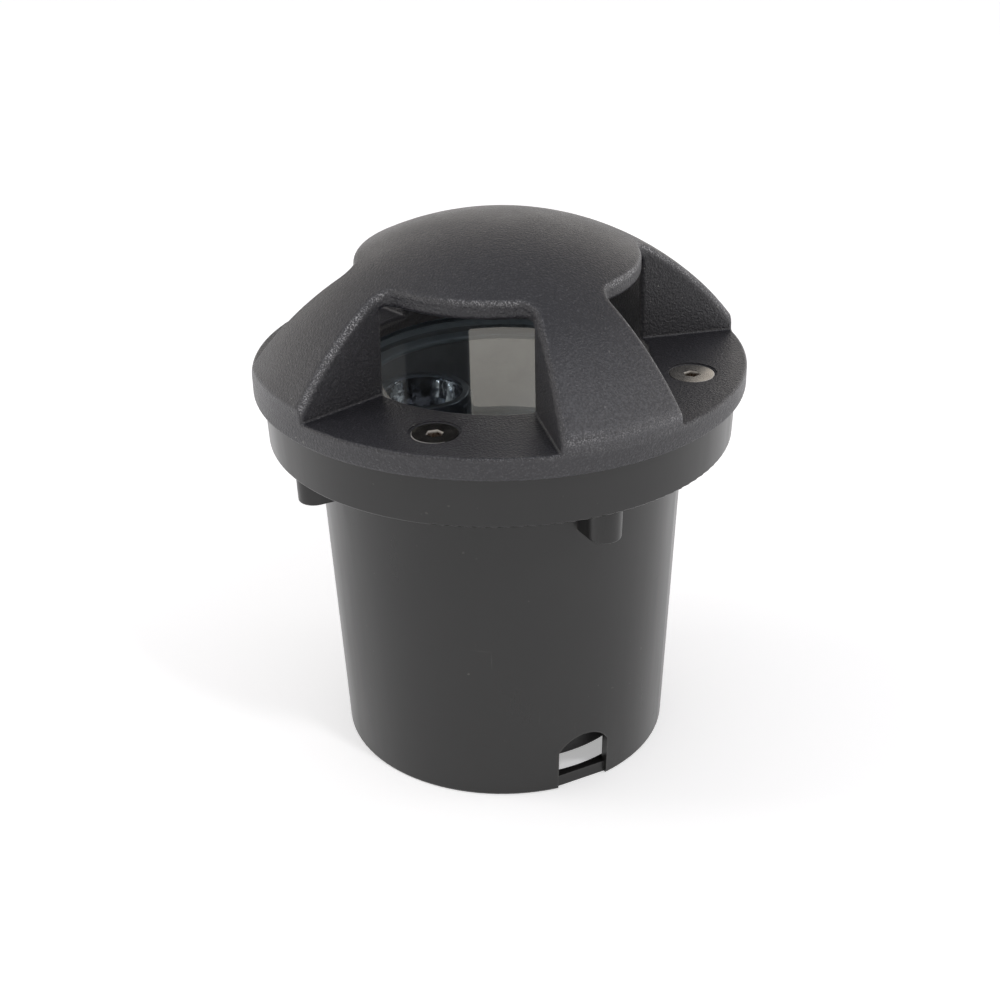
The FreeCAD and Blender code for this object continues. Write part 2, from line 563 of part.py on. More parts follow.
refl = lamp_rev([
    (12.7, 100.4), (12.7, LAMP_Z1), (12.0, LAMP_Z1), (12.0, 101.9), (11.2, 101.9), ("arc", (8.4, 93.6), (3.7, 88.9)), (3.7, 87.7), (5.1, 87.7),
    ("arc", (9.4, 92.4), (11.75, 100.4))])
export("lamp_reflector", turned(refl, R))
fg = cyl(12.0, 101.9, LAMP_Z1 - 0.1, lx, 0)
export("lamp_front_glass", turned(fg, R))
neck = box(lx - 4.9, lx + 4.9, -3.6, 3.6, 77.0, 87.7)
neck = try_fillet(neck, 1.0, lambda e: abs(e.Vertexes[0].Point.z - e.Vertexes[-1].Point.z) > 5, "lamp base corners")
neck = neck.fuse(cyl(3.7, 87.5, 89.6, lx, 0)).removeSplitter()
neck = neck.cut(cyl(2.4, 83.0, 92, lx, 0))
for s in (-2.0, 2.0):
    neck = neck.cut(cyl(0.5, 76, 80.0, lx + s, 0))
export("lamp_base", turned(neck, R))
cap = cyl(2.3, 83.1, 95.0, lx, 0).fuse(Part.makeSphere(2.3, V(lx, 0, 95.0))).fuse(Part.makeCone(1.0, 0.35, 1.7, V(lx, 0, 96.9))).removeSplitter()
export("lamp_capsule", turned(cap, R))
export("lamp_pins", turned(Part.makeCompound([cyl(0.5, 71.6, 80.0, lx + s, 0) for s in (-2.0, 2.0)]), R))

# --------------------------------------------------------------- lamp socket
sock = box(lx - 7.0, lx + 7.0, -4.6, 4.6, 63.0, 76.9)
sock = try_fillet(sock, 1.6, lambda e: abs(e.Vertexes[0].Point.z - e.Vertexes[-1].Point.z) > 5, "socket corners")
sock = sock.cut(box(lx - 7.1, lx - 5.6, -1.5, 1.5, 62, 78)).cut(box(lx + 5.6, lx + 7.1, -1.5, 1.5, 62, 78))
contacts, leads = [], []
for s in (-2.0, 2.0):
    sock = sock.cut(cyl(0.55, 65, 78, lx + s, 0)).cut(cyl(1.15, 68.0, 75.8, lx + s, 0)).cut(cyl(0.95, 62, 69.0, lx + s, 0))
    c = cyl(1.15, 68.6, 75.8, lx + s, 0).cut(cyl(0.5, 71.5, 76, lx + s, 0))
    contacts.append(c)
    leads.append(cyl(0.95, 49.6, 68.6, lx + s, 0))
export("lamp_socket", turned(sock, R))
export("socket_contacts", turned(Part.makeCompound(contacts), R))
export("socket_leads", turned(Part.makeCompound(leads), R))

# two-pole connector that the supply cable joins
conn = box(lx - 6.0, lx + 6.0, -3.6, 3.6, 38.0, 51.0)
conn = try_fillet(conn, 0.8, lambda e: abs(e.Vertexes[0].Point.z - e.Vertexes[-1].Point.z) > 5, "connector corners")
csc = []
for s in (-2.6, 2.6):
    conn = conn.cut(Part.makeCylinder(1.7, 3.0, V(lx + s, -3.6 - 0.1, 46.8), V(0, 1, 0)))
    conn = conn.cut(Part.makeCylinder(1.7, 3.0, V(lx + s, -3.6 - 0.1, 41.6), V(0, 1, 0)))
    conn = conn.cut(cyl(1.5, 37, 40.0, lx + s, 0.6))
for s in (-2.0, 2.0):
    conn = conn.cut(cyl(0.95, 49.6, 52, lx + s, 0))
for s in (-2.6, 2.6):
    for z in (46.8, 41.6):
        p = Part.makeCylinder(1.7, 1.6, V(lx + s, -2.3, z), V(0, 1, 0))
        p = p.cut(box(lx + s - 2, lx + s + 2, -2.4, -1.8, z - 0.3, z + 0.3))
        csc.append(p)
export("lead_connector", turned(conn, R))
export("connector_screws", turned(Part.makeCompound(csc), R))
print("done")
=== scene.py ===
import bpy, bmesh, math, json, random
from mathutils import Vector, Matrix


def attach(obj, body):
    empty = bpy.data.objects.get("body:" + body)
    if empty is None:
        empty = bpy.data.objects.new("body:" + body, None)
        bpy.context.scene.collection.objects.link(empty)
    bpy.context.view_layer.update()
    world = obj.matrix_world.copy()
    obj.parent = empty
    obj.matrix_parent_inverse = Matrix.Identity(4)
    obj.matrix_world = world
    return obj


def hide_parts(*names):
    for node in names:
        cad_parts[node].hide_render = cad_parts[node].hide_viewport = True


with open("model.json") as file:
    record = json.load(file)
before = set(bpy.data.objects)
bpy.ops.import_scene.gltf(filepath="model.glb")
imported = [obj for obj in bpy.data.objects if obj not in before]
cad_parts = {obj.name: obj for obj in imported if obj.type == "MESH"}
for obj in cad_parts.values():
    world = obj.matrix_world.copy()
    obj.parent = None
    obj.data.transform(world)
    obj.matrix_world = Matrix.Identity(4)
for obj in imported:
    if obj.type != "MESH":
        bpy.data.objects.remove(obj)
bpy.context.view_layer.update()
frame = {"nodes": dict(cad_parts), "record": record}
N = frame["nodes"]
sc = bpy.context.scene
MM = 0.001

# ------------------------------------------------------------------ view transform
sc.view_settings.view_transform = "Standard"
sc.view_settings.look = "None"
sc.view_settings.exposure = 0.0
sc.view_settings.gamma = 1.0

# ------------------------------------------------------------------ camera
AZ = math.radians(17.7)
EL = math.radians(27.1)
ROLL = math.radians(-1.10)
DIST, TX, TZ = 491.43, -0.55, 72.54
ca, sa = math.cos(AZ), math.sin(AZ)


def turn(v):
    return Vector((v[0] * ca - v[1] * sa, v[0] * sa + v[1] * ca, v[2]))


loc = turn((TX, -DIST * math.cos(EL), TZ + DIST * math.sin(EL))) * MM
fwd = turn((0.0, math.cos(EL), -math.sin(EL)))
r0 = turn((1.0, 0.0, 0.0))
u0 = r0.cross(fwd)
rr = r0 * math.cos(ROLL) + u0 * math.sin(ROLL)
uu = -r0 * math.sin(ROLL) + u0 * math.cos(ROLL)
cam_data = bpy.data.cameras.new("camera")
cam_data.sensor_width = 36.0
cam_data.lens = 58.5
cam_data.clip_start = 0.01
cam_data.clip_end = 100.0
cam = bpy.data.objects.new("camera", cam_data)
sc.collection.objects.link(cam)
m = Matrix((rr, uu, -fwd)).transposed().to_4x4()
m.translation = loc
cam.matrix_world = m
sc.camera = cam

# ------------------------------------------------------------------ node helpers


class Tree:
    """A small helper that adds shader nodes and links them."""

    def __init__(self, name):
        self.mat = bpy.data.materials.new(name)
        self.mat.use_nodes = True
        self.nt = self.mat.node_tree
        self.nt.nodes.clear()
        self.out = self.nt.nodes.new("ShaderNodeOutputMaterial")
        self.coord = self.nt.nodes.new("ShaderNodeTexCoord")

    def add(self, kind, **props):
        n = self.nt.nodes.new(kind)
        for k, v in props.items():
            setattr(n, k, v)
        return n

    def link(self, a, b):
        self.nt.links.new(a, b)

    def noise(self, scale, detail=3.0, rough=0.55, dist=0.0, vec=None):
        n = self.add("ShaderNodeTexNoise")
        n.inputs["Scale"].default_value = scale
        n.inputs["Detail"].default_value = detail
        n.inputs["Roughness"].default_value = rough
        n.inputs["Distortion"].default_value = dist
        self.link(vec or self.coord.outputs["Object"], n.inputs["Vector"])
        return n.outputs["Fac"]

    def voronoi(self, scale, feature="F1", out="Distance", vec=None, rand=1.0):
        n = self.add("ShaderNodeTexVoronoi", feature=feature)
        n.inputs["Scale"].default_value = scale
        n.inputs["Randomness"].default_value = rand
        self.link(vec or self.coord.outputs["Object"], n.inputs["Vector"])
        return n.outputs[out]

    def mapping(self, scale=(1, 1, 1), rot=(0, 0, 0)):
        n = self.add("ShaderNodeMapping")
        n.inputs["Scale"].default_value = scale
        n.inputs["Rotation"].default_value = rot
        self.link(self.coord.outputs["Object"], n.inputs["Vector"])
        return n.outputs["Vector"]

    def ramp(self, fac, stops):
        n = self.add("ShaderNodeValToRGB")
        e = n.color_ramp.elements
        while len(e) > 1:
            e.remove(e[-1])
        e[0].position = stops[0][0]
        e[0].color = stops[0][1] if len(stops[0][1]) == 4 else (*stops[0][1], 1.0)
        for p, c in stops[1:]:
            x = e.new(p)
            x.color = c if len(c) == 4 else (*c, 1.0)
        self.link(fac, n.inputs["Fac"])
        return n.outputs["Color"]

    def rng(self, fac, a, b, c, d):
        n = self.add("ShaderNodeMapRange")
        n.inputs["From Min"].default_value = a
        n.inputs["From Max"].default_value = b
        n.inputs["To Min"].default_value = c
        n.inputs["To Max"].default_value = d
        self.link(fac, n.inputs["Value"])
        return n.outputs["Result"]

    def math(self, op, a, b=None, clamp=False):
        n = self.add("ShaderNodeMath", operation=op, use_clamp=clamp)
        for i, x in enumerate((a, b)):
            if x is None:
                continue
            if isinstance(x, (int, float)):
                n.inputs[i].default_value = x
            else:
                self.link(x, n.inputs[i])
        return n.outputs[0]

    def mix(self, fac, a, b):
        n = self.add("ShaderNodeMix", data_type="RGBA")
        for sock, x in ((n.inputs[0], fac), (n.inputs[6], a), (n.inputs[7], b)):
            if isinstance(x, (int, float)):
                sock.default_value = x
            elif isinstance(x, tuple):
                sock.default_value = x if len(x) == 4 else (*x, 1.0)
            else:
                self.link(x, sock)
        return n.outputs[2]

    def bump(self, height, strength, dist, normal=None):
        n = self.add("ShaderNodeBump")
        n.inputs["Strength"].default_value = strength
        n.inputs["Distance"].default_value = dist
        self.link(height, n.inputs["Height"])
        if normal is not None:
            self.link(normal, n.inputs["Normal"])
        return n.outputs["Normal"]

    def edge(self, radius, lo=0.02, hi=0.25):
        """1 on convex or concave edges within radius, 0 on open faces."""
        b = self.add("ShaderNodeBevel", samples=6)
        b.inputs["Radius"].default_value = radius
        g = self.add("ShaderNodeNewGeometry")
        d = self.add("ShaderNodeVectorMath", operation="DOT_PRODUCT")
        self.link(b.outputs["Normal"], d.inputs[0])
        self.link(g.outputs["Normal"], d.inputs[1])
        return self.rng(d.outputs["Value"], 1.0 - lo, 1.0 - hi, 0.0, 1.0)

    def principled(self, **vals):
        p = self.add("ShaderNodeBsdfPrincipled")
        for k, v in vals.items():
            s = p.inputs[k.replace("_", " ")]
            if isinstance(v, (int, float)):
                s.default_value = v
            elif isinstance(v, tuple):
                s.default_value = v if len(v) == 4 or len(v) != 3 else (*v, 1.0)
            else:
                self.link(v, s)
        self.link(p.outputs["BSDF"], self.out.inputs["Surface"])
        return p


def put(name_or_obj, mat):
    o = N[name_or_obj] if isinstance(name_or_obj, str) else name_or_obj
    o.data.materials.clear()
    o.data.materials.append(mat)


# ------------------------------------------------------------------ materials


def mat_powder():
    """Fine textured powder coat: sandy grains of about half a millimetre, brightest on the rounded edges, where
    highlights and glints facing the key light are painted in.
    """
    t = Tree("powder_coat")
    grain = t.noise(1600.0, 2.0, 0.62)
    fine = t.noise(3000.0, 1.0, 0.5)
    cells = t.voronoi(1350.0, out="Distance")
    peel = t.noise(330.0, 2.0, 0.5)
    # the casting's rounded top edges: just below the dome's sphere (88.09 mm about z 72.25 mm)
    off = t.add("ShaderNodeVectorMath", operation="SUBTRACT")
    t.link(t.coord.outputs["Object"], off.inputs[0])
    off.inputs[1].default_value = (0.0, 0.0, 0.07225)
    ln = t.add("ShaderNodeVectorMath", operation="LENGTH")
    t.link(off.outputs["Vector"], ln.inputs[0])
    deep = t.math("SUBTRACT", 0.08809, ln.outputs["Value"])
    band = t.math("MULTIPLY", t.rng(deep, 0.00004, 0.00030, 0.0, 1.0), t.rng(deep, 0.0008, 0.0019, 1.0, 0.0), clamp=True)
    sep = t.add("ShaderNodeSeparateXYZ")
    t.link(t.coord.outputs["Object"], sep.inputs[0])
    band = t.math("MULTIPLY", band, t.rng(sep.outputs[2], 0.1205, 0.1225, 0.0, 1.0), clamp=True)
    # and the rim's rounded upper edge
    rad = t.math("SQRT", t.math("ADD", t.math("MULTIPLY", sep.outputs[0], sep.outputs[0]), t.math("MULTIPLY", sep.outputs[1], sep.outputs[1])))
    rim = t.math("MULTIPLY", t.rng(rad, 0.0696, 0.0704, 0.0, 1.0), t.rng(sep.outputs[2], 0.1189, 0.1196, 0.0, 1.0), clamp=True)
    band = t.math("MAXIMUM", band, t.math("MULTIPLY", rim, 0.30))
    # painted highlight: how far a surface faces the key light, which sets where the edge highlights are painted
    geo = t.add("ShaderNodeNewGeometry")
    dn = t.add("ShaderNodeVectorMath", operation="DOT_PRODUCT")
    t.link(geo.outputs["Normal"], dn.inputs[0])
    dn.inputs[1].default_value = turn((0.45, -0.60, 0.66))
    side = t.rng(dn.outputs["Value"], 0.62, 0.96, 0.14, 1.0)
    h = t.math("ADD", grain, t.math("MULTIPLY", fine, 0.45))
    h = t.math("ADD", h, t.math("MULTIPLY", t.math("SUBTRACT", 1.0, cells), 0.40))
    h = t.math("ADD", h, t.math("MULTIPLY", peel, 0.12))
    h = t.math("MULTIPLY", h, t.math("ADD", 1.0, t.math("MULTIPLY", band, 0.5)))
    nrm = t.bump(h, 1.0, 0.00023)
    clouds = t.noise(26.0, 4.0, 0.62)
    base = t.ramp(clouds, [(0.3, (0.0140, 0.0138, 0.0174)), (0.7, (0.0192, 0.0188, 0.0230))])
    base = t.mix(t.rng(grain, 0.52, 0.72, 0.0, 0.75), base, (0.038, 0.037, 0.044))
    # grains that stand proud and catch the light
    tip = t.math("MULTIPLY", t.rng(fine, 0.57, 0.68, 0.0, 1.0), t.rng(grain, 0.50, 0.60, 0.0, 1.0), clamp=True)
    base = t.mix(t.math("MULTIPLY", tip, 0.6), base, (0.11, 0.11, 0.116))
    # painted highlight and painted glints on the rounded edges that face the key light, patchy along their length
    patchy = t.math("MULTIPLY", t.rng(t.noise(95.0, 3.0, 0.6), 0.38, 0.60, 0.35, 1.0), side, clamp=True)
    painted_glint = t.math("MULTIPLY", t.rng(t.noise(2500.0, 2.0, 0.7), 0.50, 0.63, 0.0, 1.0), t.math("MULTIPLY", band, patchy), clamp=True)
    base = t.mix(t.math("MULTIPLY", t.math("MULTIPLY", band, side), 0.50), base, (0.058, 0.058, 0.064))
    base = t.mix(t.math("MULTIPLY", painted_glint, 0.80), base, (0.60, 0.60, 0.62))
    # painted highlight: the arms' outer ends that face the key light are painted paler than the cap, patchy with the
    # grain
    ends = t.math("MULTIPLY", t.rng(rad, 0.047, 0.067, 0.0, 1.0), t.rng(sep.outputs[2], 0.1207, 0.1216, 0.0, 1.0), clamp=True)
    ends = t.math("MULTIPLY", t.math("MULTIPLY", ends, side), t.rng(grain, 0.40, 0.60, 0.35, 1.0), clamp=True)
    base = t.mix(t.math("MULTIPLY", ends, 0.55), base, (0.085, 0.085, 0.094))
    # a little pale dust in specks
    dust = t.math("MULTIPLY", t.rng(t.noise(620.0, 1.0, 0.5), 0.735, 0.765, 0.0, 1.0), t.rng(t.noise(60.0, 2.0, 0.5), 0.5, 0.62, 0.0, 1.0), clamp=True)
    base = t.mix(t.math("MULTIPLY", dust, 0.55), base, (0.20, 0.20, 0.19))
    rough = t.rng(t.noise(48.0, 3.0, 0.6), 0.3, 0.7, 0.36, 0.45)
    rough = t.math("SUBTRACT", rough, t.math("MULTIPLY", t.math("MAXIMUM", tip, painted_glint), 0.20))
    p = t.principled(Base_Color=base, Roughness=rough, Normal=nrm)
    p.inputs["Specular IOR Level"].default_value = 0.56
    return t.mat


def mat_abs():
    """Smooth black plastic with faint flow marks, hairline scratches and edges paler in patches."""
    t = Tree("black_abs")
    clouds = t.noise(16.0, 4.0, 0.6)
    streak = t.noise(75.0, 4.0, 0.65, vec=t.mapping((1.0, 1.0, 0.10)))
    scr1 = t.noise(850.0, 2.0, 0.5, vec=t.mapping((1.0, 1.0, 0.045), (0.16, 0.07, 0.0)))
    scr2 = t.noise(700.0, 2.0, 0.5, vec=t.mapping((0.06, 0.06, 1.0), (0.1, -0.2, 0.3)))
    zone = t.rng(t.noise(34.0, 2.0, 0.5), 0.54, 0.68, 0.0, 1.0)
    scratch = t.math("MULTIPLY", t.math("MAXIMUM", t.rng(scr1, 0.68, 0.74, 0.0, 1.0), t.rng(scr2, 0.70, 0.76, 0.0, 0.8)), zone, clamp=True)
    # edges, convex and hollow alike, are painted paler in patches
    edge = t.edge(0.0011)
    pale_edge = t.math("MULTIPLY", edge, t.rng(t.noise(240.0, 3.0, 0.65), 0.36, 0.60, 0.25, 1.0), clamp=True)
    base = t.ramp(clouds, [(0.3, (0.0098, 0.0098, 0.0100)), (0.75, (0.0132, 0.0130, 0.0128))])
    base = t.mix(t.math("MULTIPLY", scratch, 0.30), base, (0.055, 0.054, 0.052))
    base = t.mix(t.math("MULTIPLY", pale_edge, 0.42), base, (0.085, 0.083, 0.080))
    dust = t.math("MULTIPLY", t.rng(t.noise(640.0, 1.0, 0.5), 0.75, 0.79, 0.0, 1.0), t.rng(t.noise(40.0, 2.0, 0.5), 0.52, 0.64, 0.0, 1.0), clamp=True)
    base = t.mix(t.math("MULTIPLY", dust, 0.30), base, (0.15, 0.145, 0.135))
    rough = t.rng(streak, 0.3, 0.7, 0.26, 0.36)
    rough = t.math("ADD", rough, t.math("MULTIPLY", scratch, 0.12))
    h = t.math("ADD", t.math("MULTIPLY", t.noise(1200.0, 2.0, 0.5), 0.5), t.math("MULTIPLY", streak, 1.2))
    h = t.math("SUBTRACT", h, t.math("MULTIPLY", scratch, 0.6))
    nrm = t.bump(h, 0.16, 0.00006)
    p = t.principled(Base_Color=base, Roughness=rough, Normal=nrm)
    p.inputs["Specular IOR Level"].default_value = 0.46
    return t.mat


def mat_housing():
    """Cast aluminium, black outside, bare and dull inside, with a turned seat for the gasket."""
    t = Tree("housing_coat")
    sep = t.add("ShaderNodeSeparateXYZ")
    t.link(t.coord.outputs["Object"], sep.inputs[0])
    x, y, z = sep.outputs[0], sep.outputs[1], sep.outputs[2]
    r = t.math("SQRT", t.math("ADD", t.math("MULTIPLY", x, x), t.math("MULTIPLY", y, y)))
    # the wall's middle radius grows from 41.9 mm at the floor to 45.6 mm under the flange
    wall = t.math("ADD", t.math("MULTIPLY", z, 0.0491), 0.0405)
    inside = t.math("MULTIPLY", t.math("LESS_THAN", r, wall), t.math("GREATER_THAN", z, 0.0255))
    seat = t.math("MULTIPLY", t.math("GREATER_THAN", z, 0.1040), t.math("LESS_THAN", r, 0.0496))
    mott = t.noise(120.0, 4.0, 0.65)
    coat = t.ramp(mott, [(0.3, (0.012, 0.012, 0.013)), (0.7, (0.018, 0.018, 0.019))])
    bare = t.ramp(mott, [(0.3, (0.21, 0.222, 0.258)), (0.7, (0.28, 0.294, 0.335))])
    cut = t.ramp(t.noise(260.0, 3.0, 0.6), [(0.3, (0.13, 0.14, 0.155)), (0.7, (0.17, 0.18, 0.20))])
    base = t.mix(t.math("MAXIMUM", inside, seat), coat, bare)
    base = t.mix(seat, base, cut)
    rings = t.math("SINE", t.math("MULTIPLY", r, 2.0 * math.pi / 0.0006))
    h = t.math("ADD", t.math("MULTIPLY", t.noise(900.0, 3.0, 0.6), 1.0), t.math("MULTIPLY", t.math("MULTIPLY", rings, seat), 0.35))
    nrm = t.bump(h, 0.5, 0.00008)
    rough = t.rng(t.noise(90.0, 3.0, 0.6), 0.3, 0.7, 0.46, 0.60)
    p = t.principled(Base_Color=base, Roughness=rough, Normal=nrm)
    p.inputs["Specular IOR Level"].default_value = 0.5
    return t.mat


def mat_screws():
    """Turned stainless heads with fine tool rings, dark grime in the sockets, and painted highlights on the socket
    walls and one side of each head's rim.
    """
    t = Tree("stainless_screws")
    sep = t.add("ShaderNodeSeparateXYZ")
    t.link(t.coord.outputs["Object"], sep.inputs[0])
    ax, ay = t.math("ABSOLUTE", sep.outputs[0]), t.math("ABSOLUTE", sep.outputs[1])
    u = t.math("SUBTRACT", t.math("MAXIMUM", ax, ay), 0.0565)
    v = t.math("MINIMUM", ax, ay)
    r = t.math("SQRT", t.math("ADD", t.math("MULTIPLY", u, u), t.math("MULTIPLY", v, v)))
    rings = t.math("SINE", t.math("MULTIPLY", t.math("ADD", r, t.math("MULTIPLY", t.noise(400.0, 2.0, 0.5), 0.00008)), 2.0 * math.pi / 0.00052))
    in_socket = t.math("LESS_THAN", r, 0.0026)
    grime = t.math("MULTIPLY", t.rng(sep.outputs[2], 0.1189, 0.1196, 1.0, 0.0), in_socket, clamp=True)
    # painted highlight: the socket's walls are painted pale and dull, and so is one side of each head's outer edge
    wall = t.math("MULTIPLY", t.math("SUBTRACT", t.rng(sep.outputs[2], 0.1197, 0.11995, 1.0, 0.0), grime), in_socket, clamp=True)
    # signed distance along the rim from each screw's middle, then how far a point lies towards the side where the rim
    # highlight is painted
    on_x = t.math("GREATER_THAN", ax, ay)
    along = t.math("SUBTRACT", t.math("MULTIPLY", t.math("MULTIPLY", sep.outputs[1], t.math("SIGN", sep.outputs[0])), on_x),
                   t.math("MULTIPLY", t.math("MULTIPLY", sep.outputs[0], t.math("SIGN", sep.outputs[1])), t.math("SUBTRACT", 1.0, on_x)))
    out = t.math("SUBTRACT", t.math("MULTIPLY", u, 0.927), t.math("MULTIPLY", along, 0.375))
    painted_rim_highlight = t.math("MULTIPLY", t.rng(r, 0.00602, 0.00614, 0.0, 1.0), t.rng(out, 0.0020, 0.0052, 0.0, 0.85), clamp=True)
    pale = t.math("MAXIMUM", wall, painted_rim_highlight)
    base = t.ramp(t.noise(160.0, 3.0, 0.6), [(0.3, (0.50, 0.48, 0.45)), (0.7, (0.62, 0.60, 0.56))])
    base = t.mix(t.math("MULTIPLY", grime, t.rng(t.noise(1400.0, 3.0, 0.6), 0.35, 0.6, 0.45, 1.0), clamp=True), base, (0.13, 0.085, 0.055))
    rough = t.rng(t.noise(300.0, 3.0, 0.6), 0.3, 0.7, 0.17, 0.25)
    base = t.mix(pale, base, (0.90, 0.87, 0.82))
    rough = t.math("ADD", rough, t.math("MULTIPLY", t.math("MAXIMUM", grime, pale), 0.30))
    nrm = t.bump(rings, 0.18, 0.00002)
    t.principled(Base_Color=base, Roughness=rough, Metallic=t.rng(pale, 0.0, 1.0, 1.0, 0.30), Normal=nrm)
    return t.mat


def mat_metal(name, c0, c1, r0_, r1_, scale=(1.0, 1.0, 1.0), grain=900.0, bump=0.1):
    t = Tree(name)
    vec = t.mapping(scale)
    g = t.noise(grain, 3.0, 0.6, vec=vec)
    blot = t.noise(120.0, 3.0, 0.6)
    base = t.ramp(blot, [(0.3, c0), (0.7, c1)])
    rough = t.rng(g, 0.3, 0.7, r0_, r1_)
    nrm = t.bump(g, bump, 0.00003)
    t.principled(Base_Color=base, Roughness=rough, Metallic=1.0, Normal=nrm)
    return t.mat


def mat_plastic(name, c0, c1, r0_, r1_, grain=1200.0, bump=0.15, spec=0.5):
    t = Tree(name)
    blot = t.noise(60.0, 3.0, 0.6)
    g = t.noise(grain, 2.0, 0.6)
    base = t.ramp(blot, [(0.3, c0), (0.7, c1)])
    rough = t.rng(g, 0.3, 0.7, r0_, r1_)
    nrm = t.bump(g, bump, 0.00005)
    p = t.principled(Base_Color=base, Roughness=rough, Normal=nrm)
    p.inputs["Specular IOR Level"].default_value = spec
    return t.mat


def mat_glass(name, tint, rough=0.0, ior=1.5, smudge=0.02):
    """Clear glass that lets lamp and daylight through without needing caustics."""
    t = Tree(name)
    g = t.add("ShaderNodeBsdfGlass")
    g.inputs["IOR"].default_value = ior
    sm = t.noise(35.0, 4.0, 0.65, dist=0.4)
    t.link(t.rng(sm, 0.45, 0.75, rough, rough + smudge), g.inputs["Roughness"])
    col = t.ramp(t.noise(12.0, 2.0, 0.5), [(0.2, tint), (0.8, tuple(min(1.0, c * 1.01) for c in tint))])
    t.link(col, g.inputs["Color"])
    tr = t.add("ShaderNodeBsdfTransparent")
    t.link(col, tr.inputs["Color"])
    lp = t.add("ShaderNodeLightPath")
    mx = t.add("ShaderNodeMixShader")
    t.link(t.math("MAXIMUM", lp.outputs["Is Shadow Ray"], lp.outputs["Is Diffuse Ray"]), mx.inputs["Fac"])
    t.link(g.outputs["BSDF"], mx.inputs[1])
    t.link(tr.outputs["BSDF"], mx.inputs[2])
    t.link(mx.outputs["Shader"], t.out.inputs["Surface"])
    return t.mat


powder = mat_powder()
abs_black = mat_abs()
stainless = mat_metal("stainless", (0.52, 0.50, 0.47), (0.64, 0.62, 0.59), 0.22, 0.38)
bracket_steel = mat_metal("bracket_steel", (0.50, 0.50, 0.50), (0.60, 0.60, 0.61), 0.28, 0.42, scale=(1.0, 1.0, 0.08), grain=1500.0, bump=0.2)
brass = mat_metal("brass", (0.66, 0.48, 0.22), (0.75, 0.57, 0.28), 0.22, 0.36)
holder_steel = mat_metal("holder_steel", (0.20, 0.22, 0.25), (0.28, 0.30, 0.34), 0.30, 0.42, grain=1400.0, bump=0.2)
ring_alu = mat_plastic("ring_aluminium", (0.25, 0.30, 0.36), (0.33, 0.385, 0.45), 0.42, 0.52, grain=1100.0, bump=0.25, spec=0.7)
housing_coat = mat_housing()
screws = mat_screws()
nylon = mat_plastic("black_nylon", (0.012, 0.012, 0.012), (0.018, 0.018, 0.018), 0.40, 0.52)
silicone = mat_plastic("silicone", (0.25, 0.29, 0.34), (0.30, 0.345, 0.40), 0.55, 0.68, spec=0.35)
ceramic = mat_plastic("steatite", (0.70, 0.68, 0.62), (0.78, 0.76, 0.71), 0.45, 0.6)
sleeving = mat_plastic("lead_sleeving", (0.62, 0.60, 0.54), (0.70, 0.68, 0.63), 0.5, 0.62)
conn_plastic = mat_plastic("connector_plastic", (0.66, 0.66, 0.61), (0.73, 0.73, 0.69), 0.38, 0.5)
lens = mat_glass("lens_glass", (0.965, 0.985, 0.985))
lamp_glass = mat_glass("lamp_glass", (0.95, 0.97, 1.0), ior=1.22)
refl = mat_metal("dichroic", (0.42, 0.48, 0.62), (0.62, 0.60, 0.72), 0.10, 0.2)

by_slot = {
    "cover_powder_coat": powder, "sleeve_abs": abs_black, "stainless": stainless, "bracket_steel": bracket_steel, "brass": brass,
    "holder_steel": holder_steel, "ring_aluminium": ring_alu, "housing_coat": housing_coat, "nylon": nylon, "silicone": silicone, "ceramic": ceramic,
    "lead_sleeving": sleeving, "connector_plastic": conn_plastic, "lens_glass": lens, "lamp_glass": lamp_glass, "reflector_glass": refl,
}
for s in frame["record"]["subparts"]:
    put(s["node"], by_slot[s["material_slot"]])
put("cover_screws", screws)
LAMP_TURN = math.radians(10.0)
LAMP_X = -22.6


def lamp_pt(r, a, z):
    """Point at radius r and angle a about the lamp's own axis, in metres."""
    x, y = LAMP_X + r * math.cos(a), r * math.sin(a)
    c, q = math.cos(LAMP_TURN), math.sin(LAMP_TURN)
    return Vector(((x * c - y * q) * MM, (x * q + y * c) * MM, z * MM))


def new_piece(name, verts, faces, mat, body, smooth=True):
    me_ = bpy.data.meshes.new(name)
    me_.from_pydata([tuple(v) for v in verts], [], faces)
    me_.update()
    b_ = bmesh.new()
    b_.from_mesh(me_)
    bmesh.ops.recalc_face_normals(b_, faces=b_.faces)
    b_.to_mesh(me_)
    b_.free()
    if smooth:
        me_.shade_smooth()
    ob = bpy.data.objects.new(name, me_)
    sc.collection.objects.link(ob)
    me_.materials.append(mat)
    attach(ob, body)
    return ob


# ------------------------------------------------------------------ lamp's reflector
# A closed pressed-glass bowl. Its inside is 6 rows of 24 pillowed facets.
COLS, ROWS, SUB = 24, 6, 4
nj = COLS * SUB


def arc3(p, q, r, f):
    """Point at fraction f along the circle arc p, q, r (2-D points)."""
    ax, ay = p
    bx, by = q
    cx, cy = r
    d = 2.0 * (ax * (by - cy) + bx * (cy - ay) + cx * (ay - by))
    ux = ((ax * ax + ay * ay) * (by - cy) + (bx * bx + by * by) * (cy - ay) + (cx * cx + cy * cy) * (ay - by)) / d
    uy = ((ax * ax + ay * ay) * (cx - bx) + (bx * bx + by * by) * (ax - cx) + (cx * cx + cy * cy) * (bx - ax)) / d
    rad = math.hypot(ax - ux, ay - uy)
    a0, a1 = math.atan2(ay - uy, ax - ux), math.atan2(cy - uy, cx - ux)
    am = math.atan2(by - uy, bx - ux)
    if not (min(a0, a1) <= am <= max(a0, a1)):
        if a0 < a1:
            a0 += 2 * math.pi
        else:
            a1 += 2 * math.pi
    a_ = a0 + (a1 - a0) * f
    return (ux + rad * math.cos(a_), uy + rad * math.sin(a_)), (math.cos(a_), math.sin(a_))


